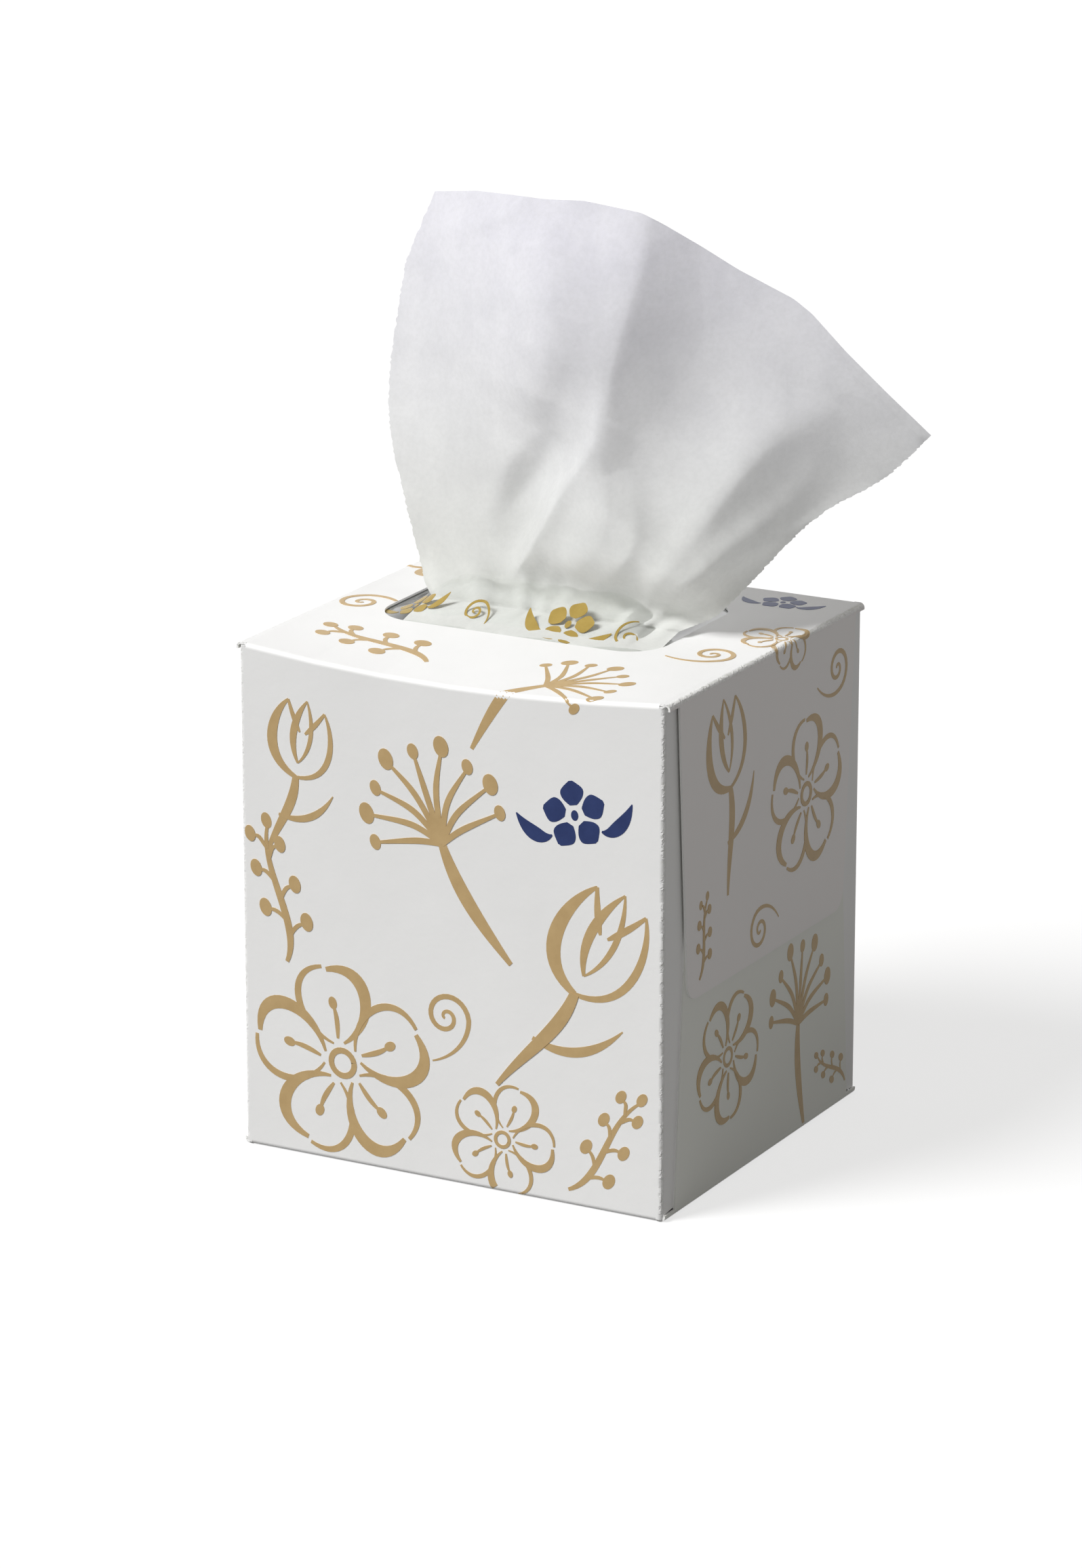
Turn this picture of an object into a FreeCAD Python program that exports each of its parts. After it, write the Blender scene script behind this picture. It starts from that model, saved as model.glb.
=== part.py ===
"""Cube box of facial tissues: folded carton, slit window film, bent clip and one pulled tissue."""
import FreeCAD, Part
import math
import os

import Sketcher

Vector = FreeCAD.Vector
BOW_SPANS = 3
PLEATS = 7
# The film's lips rise to their full height over this share of the opening's half width.
LIP_END = 0.45

# Driving sizes in millimetres, angles in degrees. X runs along the broad front, Y towards the back.
SIZES = {
    "carton_wide": 114.0,
    "carton_deep": 102.4,
    "carton_high": 124.3,
    "board": 0.5,
    "fold_outer": 1.2,
    "fold_leg": 0.4,
    "crease_end": 0.6,
    "front_dip": 3.0,
    "top_crown": 2.0,
    "opening_wide": 75.0,
    "opening_deep": 48.0,
    "opening_corner": 10.0,
    "opening_aside": -4.0,
    "opening_back": 8.5,
    "flap_inset": 5.4,
    "flap_taper": 5.0,
    "flap_corner": 5.0,
    "upper_flap": 73.7,
    "lower_flap": 74.0,
    "dust_flap": 40.0,
    "dust_inset": 1.6,
    "dust_taper": 4.0,
    "lap_high": 14.0,
    "lap_taper": 6.0,
    "film_thick": 0.1,
    "film_margin": 8.0,
    "film_lift": 8.0,
    "glue_line": 0.2,
    "slit_long": 75.0,
    "slit_wide": 6.8,
    "slit_back": 7.0,
    "clip_thick": 44.0,
    "clip_end_gap": 1.7,
    "clip_side_gap": 1.5,
    "clip_headroom": 9.0,
    "clip_edge": 2.0,
    "clip_round": 0.98,
    "tissue_thick": 0.35,
    "tissue_reach": 98.0,
    "tissue_foot_gap": 0.9,
    "left_back": 15.0,
    "right_back": 20.0,
    "pleat": 1.6,
    "tuck_long": 50.0,
    "tuck_half_wide": 46.0,
    "rest_gap": 1.6,
}

doc = FreeCAD.newDocument("TissueBox")
sheet = doc.addObject("Spreadsheet::Sheet", "Sizes")
for row, (word, value) in enumerate(SIZES.items(), start=1):
    sheet.set(f"A{row}", word)
    sheet.set(f"B{row}", str(value))
    sheet.setAlias(f"B{row}", word)
doc.recompute()


def size(word):
    """A driving size, read from the sheet."""
    return float(sheet.get(word))


def filled(text, value_of):
    """An expression with each {word} in it replaced."""
    for word in SIZES:
        text = text.replace("{" + word + "}", value_of(word))
    return text


def bind(thing, place, text):
    """Tie a property or constraint to the sheet."""
    thing.setExpression(place, filled(text, lambda word: f"Sizes.{word}"))


def number(text):
    """The value that an expression has now, for a first placing."""
    plain = filled(text, lambda word: str(size(word))).replace(" ", "")
    return FreeCAD.Units.parseQuantity(plain).Value


def new_sketch(body, name, plane, offset="0"):
    """An empty sketch on one of the body's planes, moved along that plane's normal."""
    sketch = body.newObject("Sketcher::SketchObject", name)
    origin = next(f for f in body.Origin.OriginFeatures if f.Role == plane)
    sketch.AttachmentSupport = [(origin, "")]
    sketch.MapMode = "FlatFace"
    bind(sketch, "AttachmentOffset.Base.z", offset)
    return sketch


def hold(sketch, kind, where, text):
    """A dimension that follows an expression."""
    index = sketch.addConstraint(Sketcher.Constraint(kind, *where, number(text)))
    bind(sketch, f"Constraints[{index}]", text)


def outline(sketch, corners, roof=None):
    """A closed outline through corners (x, y) or, where an arc rounds the corner, (x, y, radius).

    Guide lines meet at the sharp corners. The outline lies on them and its arcs touch them. A roof
    is a side's number and the height by which that side arches outwards between its corners.
    """
    roof_side, roof_high = roof or (None, None)
    spots = [Vector(number(corner[0]), number(corner[1]), 0) for corner in corners]
    count = len(spots)
    arrive, leave, arcs = [], [], []
    for i, corner in enumerate(corners):
        here, before, after = spots[i], spots[i - 1], spots[(i + 1) % count]
        back, ahead = (before - here).normalize(), (after - here).normalize()
        radius = number(corner[2]) if len(corner) > 2 else 0.0
        half = back.getAngle(ahead) / 2
        arrive.append(here + back * (radius / math.tan(half)))
        leave.append(here + ahead * (radius / math.tan(half)))
        middle = here + (back + ahead).normalize() * (radius / math.sin(half) - radius)
        arcs.append(Part.Arc(arrive[i], middle, leave[i]) if radius else None)

    guides, lines = [], []
    for i in range(count):
        after = (i + 1) % count
        guides.append(sketch.addGeometry(Part.LineSegment(spots[i], spots[after]), True))
        side = Part.LineSegment(leave[i], arrive[after])
        if i == roof_side:
            across = spots[after] - spots[i]
            rise = Vector(across.y, -across.x, 0).normalize() * number(roof_high)
            side = Part.Arc(leave[i], (spots[i] + spots[after]) * 0.5 + rise, arrive[after])
        lines.append(sketch.addGeometry(side, False))
    for i, corner in enumerate(corners):
        sketch.addConstraint(Sketcher.Constraint("Coincident", guides[i - 1], 2, guides[i], 1))
        hold(sketch, "DistanceX", (-1, 1, guides[i], 1), corner[0])
        hold(sketch, "DistanceY", (-1, 1, guides[i], 1), corner[1])
        if arcs[i] is None:
            sketch.addConstraint(Sketcher.Constraint("Coincident", lines[i - 1], 2, guides[i], 1))
            sketch.addConstraint(Sketcher.Constraint("Coincident", lines[i], 1, guides[i], 1))
            continue
        arc = sketch.addGeometry(arcs[i], False)
        ends = (1, 2) if turns_left(spots[i - 1], spots[i], spots[(i + 1) % count]) else (2, 1)
        if (i - 1) % count != roof_side:
            sketch.addConstraint(Sketcher.Constraint("PointOnObject", lines[i - 1], 2, guides[i - 1]))
        if i != roof_side:
            sketch.addConstraint(Sketcher.Constraint("PointOnObject", lines[i], 1, guides[i]))
        sketch.addConstraint(Sketcher.Constraint("Tangent", lines[i - 1], 2, arc, ends[0]))
        sketch.addConstraint(Sketcher.Constraint("Tangent", arc, ends[1], lines[i], 1))
        hold(sketch, "Radius", (arc,), corner[2])
    if roof:
        arch, guide = lines[roof_side], guides[roof_side]
        sketch.addConstraint(Sketcher.Constraint("PointOnObject", guide, 1, arch))
        sketch.addConstraint(Sketcher.Constraint("PointOnObject", guide, 2, arch))
        half = f"(({corners[roof_side][0]}) - ({corners[roof_side + 1][0]})) / 2"
        hold(sketch, "Radius", (arch,), f"(({half})^2 + ({roof_high})^2) / (2 * ({roof_high}))")


def turns_left(before, here, after):
    return (here - before).cross(after - here).z > 0


def add(body, kind, name, sketch, length=None, **settings):
    """A feature on a sketch, with its length from the sheet where it has one."""
    feature = body.newObject(f"PartDesign::{kind}", name)
    feature.Profile = (sketch, [""])
    if length:
        bind(feature, "Length", length)
    for place, setting in settings.items():
        setattr(feature, place, setting)
    sketch.Visibility = False


# The layers of an end, from the outside: upper flap, lower flap, dust flaps.
UPPER_OUT = "{carton_wide} / 2"
LOWER_OUT = "({carton_wide} / 2 - {board})"
DUST_OUT = "({carton_wide} / 2 - 2 * {board})"
TUBE_END = "({carton_wide} / 2 - 2 * {board} - {fold_outer} - {fold_leg})"
HALF_DEEP = "({carton_deep} / 2)"
FOLD_INNER = "({fold_outer} - {board})"


def tube(body):
    """Front, top, back and bottom panels as one wall, with the front crease dipping at its middle."""
    for kind, layer, inset, radius in (
        ("AdditiveLoft", "outer", "0", "{fold_outer}"),
        ("SubtractiveLoft", "inner", "{board}", FOLD_INNER),
    ):
        sections = []
        for spot in range(-BOW_SPANS, BOW_SPANS + 1):
            along = f"{spot} / {BOW_SPANS}"
            bow = f"(1 - ({along})^2)"
            section = new_sketch(body, f"{layer}_{spot + BOW_SPANS}", "YZ_Plane", f"{along} * {TUBE_END}")
            half, roof_line = f"({HALF_DEEP} - {inset})", f"{{carton_high}} - {inset}"
            corners = [
                (f"-{half}", inset, radius),
                (half, inset, radius),
                (half, roof_line, radius),
                (f"-{half}", f"{roof_line} - {bow} * {{front_dip}}", radius),
            ]
            arched = abs(spot) < BOW_SPANS
            outline(section, corners, (2, f"{bow} * {{top_crown}}") if arched else None)
            sections.append(section)
        wall = body.newObject(f"PartDesign::{kind}", f"tube_{layer}")
        wall.Profile = (sections[0], [""])
        wall.Sections = sections[1:]
        wall.Ruled = True


def dispensing_opening(body):
    """The rounded opening through the top panel."""
    across, back = "{opening_aside}", "{opening_back}"
    half_wide, half_deep, corner = "{opening_wide} / 2", "{opening_deep} / 2", "{opening_corner}"
    sketch = new_sketch(body, "opening_outline", "XY_Plane", "{carton_high} / 2")
    outline(sketch, [
        (f"{across} - {half_wide}", f"{back} - {half_deep}", corner),
        (f"{across} + {half_wide}", f"{back} - {half_deep}", corner),
        (f"{across} + {half_wide}", f"{back} + {half_deep}", corner),
        (f"{across} - {half_wide}", f"{back} + {half_deep}", corner),
    ])
    add(body, "Pocket", "opening", sketch, Type="ThroughAll", Reversed=True)


def glue_lap(body):
    """The strip inside the back panel that closes the tube."""
    half_top, half_foot = f"{TUBE_END} - {{lap_taper}}", f"{TUBE_END} - {{lap_taper}} / 3"
    sketch = new_sketch(body, "lap_outline", "XZ_Plane", f"-({HALF_DEEP} - {{board}})")
    outline(sketch, [
        (f"-({half_foot})", "{board} / 2"),
        (half_foot, "{board} / 2"),
        (half_top, "{lap_high}"),
        (f"-({half_top})", "{lap_high}"),
    ])
    add(body, "Pad", "glue_lap", sketch, "{board}")


def crease_strip(body, name, plane, offset, corners, length, **settings):
    """The bent strip of board between a panel and its end flap."""
    sketch = new_sketch(body, f"{name}_section", plane, offset)
    outline(sketch, corners)
    add(body, "Pad", name, sketch, length, **settings)


def level_crease(body, name, side, out, level, inwards):
    """A crease that runs along Y: the panel at level turns towards inwards (-1 down, 1 up) at out."""
    turn = "-" if inwards < 0 else "+"
    leg = f"{level} {turn} ({{fold_outer}} + {{fold_leg}})"
    under = f"{level} {turn} {{board}}"
    crease_strip(
        body, name, "XZ_Plane", "0",
        [
            (f"{side} * {TUBE_END}", level),
            (f"{side} * {out}", level, "{fold_outer}"),
            (f"{side} * {out}", leg),
            (f"{side} * ({out} - {{board}})", leg),
            (f"{side} * ({out} - {{board}})", under, FOLD_INNER),
            (f"{side} * {TUBE_END}", under),
        ],
        "{carton_deep} - 2 * {crease_end}", Midplane=True,
    )


def upright_crease(body, name, side, face):
    """A crease that runs along Z: the front (face -1) or back (face 1) panel turns into its dust flap."""
    wall, under = f"{face} * {HALF_DEEP}", f"{face} * ({HALF_DEEP} - {{board}})"
    leg = f"{face} * ({HALF_DEEP} - {{fold_outer}} - {{fold_leg}})"
    crease_strip(
        body, name, "XY_Plane", "{crease_end}",
        [
            (f"{side} * {TUBE_END}", wall),
            (f"{side} * {DUST_OUT}", wall, "{fold_outer}"),
            (f"{side} * {DUST_OUT}", leg),
            (f"{side} * ({DUST_OUT} - {{board}})", leg),
            (f"{side} * ({DUST_OUT} - {{board}})", under, FOLD_INNER),
            (f"{side} * {TUBE_END}", under),
        ],
        "{carton_high} - 2 * {crease_end}",
    )


def end_flap(body, name, side, out, corners):
    """A flat flap whose outer face lies at out."""
    sketch = new_sketch(body, f"{name}_outline", "YZ_Plane", f"{side} * ({out} - {{board}})")
    outline(sketch, corners)
    add(body, "Pad", name, sketch, "{board}", Reversed=side < 0)


def long_flap(body, name, side, out, fold, tip):
    """The upper or lower flap: it narrows from its crease to a tip with rounded corners."""
    wide = f"{HALF_DEEP} - {{flap_inset}}"
    narrow = f"{HALF_DEEP} - {{flap_inset}} - {{flap_taper}}"
    end_flap(body, name, side, out, [
        (f"-({wide})", fold),
        (wide, fold),
        (narrow, tip, "{flap_corner}"),
        (f"-({narrow})", tip, "{flap_corner}"),
    ])


def dust_flap(body, name, side, face):
    """The short inner flap of the front or back panel, slanted at both ends."""
    root, tip = f"{face} * ({HALF_DEEP} - {{fold_outer}})", f"{face} * ({HALF_DEEP} - {{dust_flap}})"
    top, low = "{carton_high} - {dust_inset}", "{dust_inset}"
    end_flap(body, name, side, DUST_OUT, [
        (root, low),
        (tip, f"{low} + {{dust_taper}}", "{flap_corner}"),
        (tip, f"{top} - {{dust_taper}}", "{flap_corner}"),
        (root, top),
    ])


def end_closure(body, side):
    """The glued end on one side: dust flaps inside, lower flap over them, upper flap outermost."""
    word = "right" if side > 0 else "left"
    for face, place in ((-1, "front"), (1, "back")):
        upright_crease(body, f"{word}_{place}_crease", side, face)
        dust_flap(body, f"{word}_{place}_dust_flap", side, face)
    level_crease(body, f"{word}_lower_crease", side, LOWER_OUT, "0", 1)
    long_flap(body, f"{word}_lower_flap", side, LOWER_OUT, "{fold_outer}", "{lower_flap}")
    level_crease(body, f"{word}_upper_crease", side, UPPER_OUT, "{carton_high}", -1)
    long_flap(
        body, f"{word}_upper_flap", side, UPPER_OUT,
        "{carton_high} - {fold_outer}", "{carton_high} - {upper_flap}",
    )


def make_carton():
    """The whole carton is one creased and glued sheet of board."""
    body = doc.addObject("PartDesign::Body", "carton")
    tube(body)
    dispensing_opening(body)
    glue_lap(body)
    for side in (-1, 1):
        end_closure(body, side)
    return body


def make_clip():
    """The interfolded tissues, bent over into an arch that fills the carton."""
    body = doc.addObject("PartDesign::Body", "tissue_stack")
    out = f"({DUST_OUT} - {{board}} - {{clip_side_gap}})"
    inner = f"({out} - {{clip_thick}})"
    crown = "({carton_high} - {board} - {clip_headroom})"
    shoulder = f"({crown} - {out})"
    foot = "{board}"
    sketch = new_sketch(body, "arch", "XZ_Plane")
    outline(sketch, [
        (f"-{out}", foot, "{clip_edge}"),
        (f"-{inner}", foot, "{clip_edge}"),
        (f"-{inner}", f"{shoulder} + {inner}", f"{inner} * {{clip_round}}"),
        (inner, f"{shoulder} + {inner}", f"{inner} * {{clip_round}}"),
        (inner, foot, "{clip_edge}"),
        (out, foot, "{clip_edge}"),
        (out, crown, f"{out} * {{clip_round}}"),
        (f"-{out}", crown, f"{out} * {{clip_round}}"),
    ])
    add(body, "Pad", "clip", sketch, "{carton_deep} - 2 * {board} - 2 * {clip_end_gap}", Midplane=True)
    return body


def panel_height(x, y):
    """Height of the top panel's outer face: the front crease dips and the middle is crowned."""
    half_long = number(TUBE_END)
    bow = max(0.0, 1 - (x / half_long) ** 2)
    across = 2 * y / size("carton_deep")
    dip = size("front_dip") * bow * (1 - across) / 2
    return size("carton_high") - dip + size("top_crown") * bow * (1 - across ** 2)


def spread(low, high, count):
    return [low + (high - low) * i / (count - 1) for i in range(count)]


def eased(share):
    """0 to 1 with level ends."""
    share = min(1.0, max(0.0, share))
    return share * share * (3 - 2 * share)


def opening_edge():
    """Centre and half sizes of the opening."""
    return size("opening_aside"), size("opening_back"), size("opening_wide") / 2, size("opening_deep") / 2


def film_height(x, y):
    """The film lies under the top panel and rises to two lips at its slit."""
    aside, back, half_wide, half_deep = opening_edge()
    flat = panel_height(x, y) - size("board") - size("glue_line")
    lip = size("slit_wide") / 2
    slit = size("slit_back")
    if y < slit:
        climb = eased((y - back + half_deep) / (slit - lip - back + half_deep))
    else:
        climb = eased((back + half_deep - y) / (back + half_deep - slit - lip))
    end = eased((half_wide - abs(x - aside)) / (LIP_END * half_wide))
    return flat + size("film_lift") * climb * end


def stations(*stops):
    """Places along an axis: each stop is (value, how many steps lead on from it)."""
    places = []
    for (here, steps), (there, _) in zip(stops, stops[1:]):
        places += spread(here, there, steps + 1)[:-1]
    return places + [stops[-1][0]]


def make_film():
    """Clear film glued under the top panel, with a slit whose lips the tissue has raised."""
    aside, back, half_wide, half_deep = opening_edge()
    margin, slit, lip = size("film_margin"), size("slit_back"), size("slit_wide") / 2
    end = size("slit_long") / 2 - lip
    xs = stations(
        (aside - half_wide - margin, 1), (aside - half_wide, 2), (aside - end, 6),
        (aside + end, 2), (aside + half_wide, 1), (aside + half_wide + margin, 0),
    )
    ys = stations(
        (back - half_deep - margin, 1), (back - half_deep, 4), (slit - lip, 1),
        (slit + lip, 4), (back + half_deep, 1), (back + half_deep + margin, 0),
    )
    points = [[Vector(x, y, film_height(x, y)) for y in ys] for x in xs]
    slit_row = ys.index(slit - lip)
    slit_columns = range(xs.index(aside - end), xs.index(aside + end))
    holes = {(column, slit_row) for column in slit_columns}
    under = Vector(0, 0, -size("film_thick"))
    return faceted_solid(points, [[point + under for point in row] for row in points], holes)


# The fan, drawn flat on the carton's middle plane in millimetres: across from the opening's middle
# and up from the top panel, at a reach of FAN_DRAWN. Its folds stand out from that plane along lines
# from FAN_VIEW, so that they leave its outline as drawn.
FAN_DRAWN = 98.0
FAN_VIEW = Vector(652.3, -1207.4, 498.4)
FAN_LEFT = [
    (-31.3, 5.3), (-32.4, 10.7), (-36.4, 24.8), (-39.4, 36.3), (-40.6, 43.4), (-40.7, 51.7),
    (-39.9, 59.8), (-37.2, 75.3), (-35.7, 83.1), (-31.3, 92.7), (-27.8, 100.2),
]
FAN_RIGHT = [
    (46.8, 6.7), (55.4, 15.8), (66.7, 28.2), (70.8, 32.3), (76, 36.6), (83.6, 41.1), (90, 45.3),
    (95.5, 50.6), (100.9, 56.3),
]
FAN_TOP = [
    (-27.8, 100.2), (-16.3, 101.4), (-6.5, 101.3), (1.4, 101.1), (11.7, 101.7), (26.7, 100.3),
    (32.5, 98.2), (42.5, 93.9), (51.7, 89.6), (65.9, 84.2), (70.6, 81.2), (79.2, 73.4), (89.6, 65),
    (100.9, 56.3),
]
# Each fold: its line from the top down, its heights at even steps along it, its width on either side
# of it and how round its crest is at its two ends.
FOLDS = [
    (
        [(26.6, 102.2), (25, 88.6), (21.9, 76.9), (18.6, 64.2), (16.2, 52.4), (14.9, 43.9),
         (10.8, 37.5), (5.9, 30.7)],
        (15, 15, 15, 15, 14, 9, 3, 0), (16, 27), (4.5, 2),
    ),
    (
        [(18, 59.7), (16.2, 52.4), (15.2, 43.9), (10.8, 37.5), (5.9, 30.7), (0.4, 21), (-6.6, 9.3),
         (-8.6, 5.4)],
        (0, 3, 8, 12, 13, 13, 12, 9), (3.5, 26), (1.5, 0.4),
    ),
    (
        [(10, 101.7), (6.3, 93.7), (1.4, 85.3), (-4.5, 74.1), (-8, 63.1), (-10.5, 53.9),
         (-11.5, 45.7)],
        (3, 6, 7, 6, 2), (20, 11), (6, 6),
    ),
    (
        [(21.5, 38.7), (24.2, 31.7), (24.9, 24.7), (23.2, 18.5), (19, 12.9), (12.3, 7.1)],
        (0, 2.5, 4.2, 4), (12, 4), (2, 0.5),
    ),
    (
        [(74, 62.7), (70.5, 55.9), (61.5, 51.2), (54, 43.9), (46.4, 33.8), (39.7, 24.9),
         (33, 16.1), (27, 7.3)],
        (0, 1.8, 5.5, 7, 6.5, 5), (13, 6), (2.2, 0.7),
    ),
    (
        [(76, 53.7), (72.5, 47.2), (68.4, 40), (59.9, 31.8), (48.5, 22.5), (40.8, 15.2), (33, 8)],
        (0, 2, 4.5, 5.5, 4.5), (7, 4.5), (1.6, 0.7),
    ),
    (
        [(92, 46.7), (84.4, 40.7), (71.3, 32.3), (58, 25.3), (48.5, 17.7), (38, 8.3)],
        (0, 0.8, 1.4, 1.4, 1), (2.5, 2.5), (1, 0.5),
    ),
    (
        [(-3.5, 102.1), (-6.5, 98.2), (-12.4, 95), (-21.4, 91.9), (-32, 89.7)],
        (1.2, 1.4, 1, 0), (5, 2.5), (0.5, 1),
    ),
    (
        [(-4.6, 25.7), (-3.5, 18.7), (0, 12.7), (5, 5.7)],
        (0, 1.6, 2.4), (4, 3), (1, 0.5),
    ),
    (
        [(-22, 27.7), (-20.5, 16.7), (-18, 4.7)],
        (0, 1.4, 2.4), (5, 6), (2, 1),
    ),
]
FOLD_FALL = 1.25
# The bowl beside the main fold: its middle, half sizes, lean in degrees, depth and sloping share.
BOWL_MIDDLE, BOWL_HALVES = (2.5, 27.7), (15.5, 20.5)
BOWL_LEAN, BOWL_DEEP, BOWL_SLOPE = -24.0, 6.0, 0.75
# Shares of the fan's height: the lips hold it flat up to the first, then its folds and lean grow.
LIP_SHARE, FOLDS_GROWN, LEAN_GROWN, PLEATS_GONE = 0.08, 0.22, 0.8, 0.13
# The main fold's share of the width, and how sharply the fan bends back to its left and right.
RIDGE_SHARE, LEFT_BEND, RIGHT_BEND = 0.38, 1.6, 1.3
# How steeply the tucked part falls to the clip, and how much flatter its gathers get on the way.
TUCK_FALL, TUCK_FLATTER, TUCK_EASE = 2.2, 0.6, 0.1
# Grid steps: tissue columns, fan rows and tuck rows.
TISSUE_COLUMNS, FAN_ROWS, TUCK_ROWS = 50, 26, 12


def cut_corners(line, passes=2, share=0.25):
    """The line with its corners cut, its ends kept."""
    for _ in range(passes):
        cut = [line[0]]
        for a, b in zip(line, line[1:]):
            cut += [between(a, b, share), between(b, a, share)]
        line = cut + [line[-1]]
    return line


def place_on(line, share):
    """The place at a share of a line's length."""
    run = share * sum(math.dist(a, b) for a, b in zip(line, line[1:]))
    for a, b in zip(line, line[1:]):
        length = math.dist(a, b)
        if run <= length:
            return between(a, b, run / length)
        run -= length
    return line[-1]


def between(a, b, share):
    return a[0] + (b[0] - a[0]) * share, a[1] + (b[1] - a[1]) * share


def nearest(place, line):
    """Distance to a line, how much the place is to its right (0) or left (1), and the share along it."""
    found, start = None, 0.0
    for a, b in zip(line, line[1:]):
        length = math.dist(a, b)
        ahead = (b[0] - a[0]) / length, (b[1] - a[1]) / length
        offset = place[0] - a[0], place[1] - a[1]
        along = min(max(offset[0] * ahead[0] + offset[1] * ahead[1], 0.0), length)
        gap = offset[0] - along * ahead[0], offset[1] - along * ahead[1]
        distance = math.hypot(*gap)
        if found is None or distance < found[0]:
            leftness = (ahead[0] * gap[1] - ahead[1] * gap[0]) / distance if distance else 0.0
            found = distance, 0.5 + 0.5 * leftness, start + along
        start += length
    return found[0], found[1], found[2] / start


def step_value(values, share):
    """A value from even steps along a line."""
    run = share * (len(values) - 1)
    step = min(int(run), len(values) - 2)
    return values[step] + (values[step + 1] - values[step]) * (run - step)


def drawn_at(point):
    """Where a point is drawn, across from the opening's middle and up from the top panel."""
    flat = FAN_VIEW + (point - FAN_VIEW) * (FAN_VIEW.y / (FAN_VIEW.y - point.y))
    grown = size("tissue_reach") / FAN_DRAWN
    return (flat.x - size("opening_aside")) / grown, (flat.z - size("carton_high")) / grown


def fan_lines():
    """The fan's four drawn sides: foot, left, right and top."""
    half = size("slit_long") / 2 - size("slit_wide") / 2 - size("tissue_foot_gap")
    aside, slit, high = size("opening_aside"), size("slit_back"), size("carton_high")
    foot = [drawn_at(Vector(aside + side * half, slit, high)) for side in (-1, 1)]
    return foot, cut_corners([foot[0]] + FAN_LEFT), cut_corners([foot[1]] + FAN_RIGHT), cut_corners(FAN_TOP)


def drawn_place(across, up, lines):
    """A place in the fan's drawing that blends its four sides."""
    foot, left, right, top = lines
    sides = between(place_on(left, up), place_on(right, up), across)
    ends = between(place_on(foot, across), place_on(top, across), up)
    corners = between(between(left[0], right[0], across), between(left[-1], right[-1], across), up)
    return sides[0] + ends[0] - corners[0], sides[1] + ends[1] - corners[1]


def fold_depth(place):
    """How far the folds stand back (or, less than 0, forward) at a drawn place."""
    depth = 0.0
    for line, heights, widths, crest in FOLDS:
        distance, side, share = nearest(place, line)
        rounding = step_value(crest, share)
        width = step_value(widths, side)
        distance = math.hypot(distance, rounding) - rounding
        depth -= step_value(heights, share) * math.exp(-((distance / width) ** FOLD_FALL))
    lean = math.radians(BOWL_LEAN)
    x, z = place[0] - BOWL_MIDDLE[0], place[1] - BOWL_MIDDLE[1]
    across = (x * math.cos(lean) + z * math.sin(lean)) / BOWL_HALVES[0]
    along = (z * math.cos(lean) - x * math.sin(lean)) / BOWL_HALVES[1]
    return depth + BOWL_DEEP * eased((1 - math.hypot(across, along)) / BOWL_SLOPE)


def fan_point(across, up, lines):
    """A point of the tissue above the slit; across and up run from 0 to 1."""
    grown = size("tissue_reach") / FAN_DRAWN
    place = drawn_place(across, up, lines)
    right = max(0.0, (across - RIDGE_SHARE) / (1 - RIDGE_SHARE)) ** RIGHT_BEND
    left = max(0.0, (RIDGE_SHARE - across) / RIDGE_SHARE) ** LEFT_BEND
    back = (size("right_back") * right + size("left_back") * left) * eased(up / LEAN_GROWN)
    folds = eased((up - LIP_SHARE) / (FOLDS_GROWN - LIP_SHARE))
    y = size("slit_back") + (fold_depth(place) * grown + back) * folds
    y += pleat_at(across) * (1 - eased(up / PLEATS_GONE))
    flat = Vector(size("opening_aside") + place[0] * grown, 0, size("carton_high") + place[1] * grown)
    return flat + (flat - FAN_VIEW) * (y / -FAN_VIEW.y)


def pleat_at(across):
    """The gathers at the slit, dying out at its ends."""
    fade = eased(min(across, 1 - across) * PLEATS)
    return size("pleat") * fade * math.sin(2 * math.pi * across * PLEATS)


def clip_top(x):
    """Height of the clip's upper face, which falls away to both sides."""
    out = number(f"{DUST_OUT} - {{board}} - {{clip_side_gap}}")
    crown = size("carton_high") - size("board") - size("clip_headroom")
    radius = out * size("clip_round")
    past_flat = max(0.0, abs(x) - (out - radius))
    return crown - radius + math.sqrt(max(0.0, radius ** 2 - past_flat ** 2))


def tuck_point(across, share, root):
    """A point of the tissue below the slit: share runs from 0 at the slit to 1 at its hidden edge."""
    near = (1 - share) ** 2
    x = root.x * (1 - share) + size("tuck_half_wide") * (2 * across - 1) * share
    y = root.y * near + (size("slit_back") - size("tuck_long") * share) * (1 - near)
    rest = clip_top(x) + size("rest_gap")
    z = rest + (root.z - rest) * (1 - share) ** TUCK_FALL
    return Vector(x, y, z + pleat_at(across) * eased(share / TUCK_EASE) * (1 - TUCK_FLATTER * share))


def faceted_solid(top, under, holes=()):
    """A thin solid of flat facets between two grids of points, with walls round its edges and holes."""
    last_i, last_j = len(top) - 1, len(top[0]) - 1
    cells = {(i, j) for i in range(last_i) for j in range(last_j)} - set(holes)
    width, offset = last_j + 1, (last_i + 1) * (last_j + 1)
    facets = []
    for i, j in sorted(cells):
        a, b, c, d = i * width + j, (i + 1) * width + j, (i + 1) * width + j + 1, i * width + j + 1
        facets += [(a, b, c), (a, c, d)]
        facets += [(c + offset, b + offset, a + offset), (d + offset, c + offset, a + offset)]
        for start, end, beside in (
            (a, b, (i, j - 1)), (b, c, (i + 1, j)), (c, d, (i, j + 1)), (d, a, (i - 1, j)),
        ):
            if beside not in cells:
                facets += [(end, start, start + offset), (end, start + offset, end + offset)]
    spots = [point for row in top for point in row] + [point for row in under for point in row]
    skin = Part.Shape()
    skin.makeShapeFromMesh((spots, facets), 0.001)
    solid = Part.makeSolid(skin.Shells[0])
    return solid if solid.Volume > 0 else solid.reversed()


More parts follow.
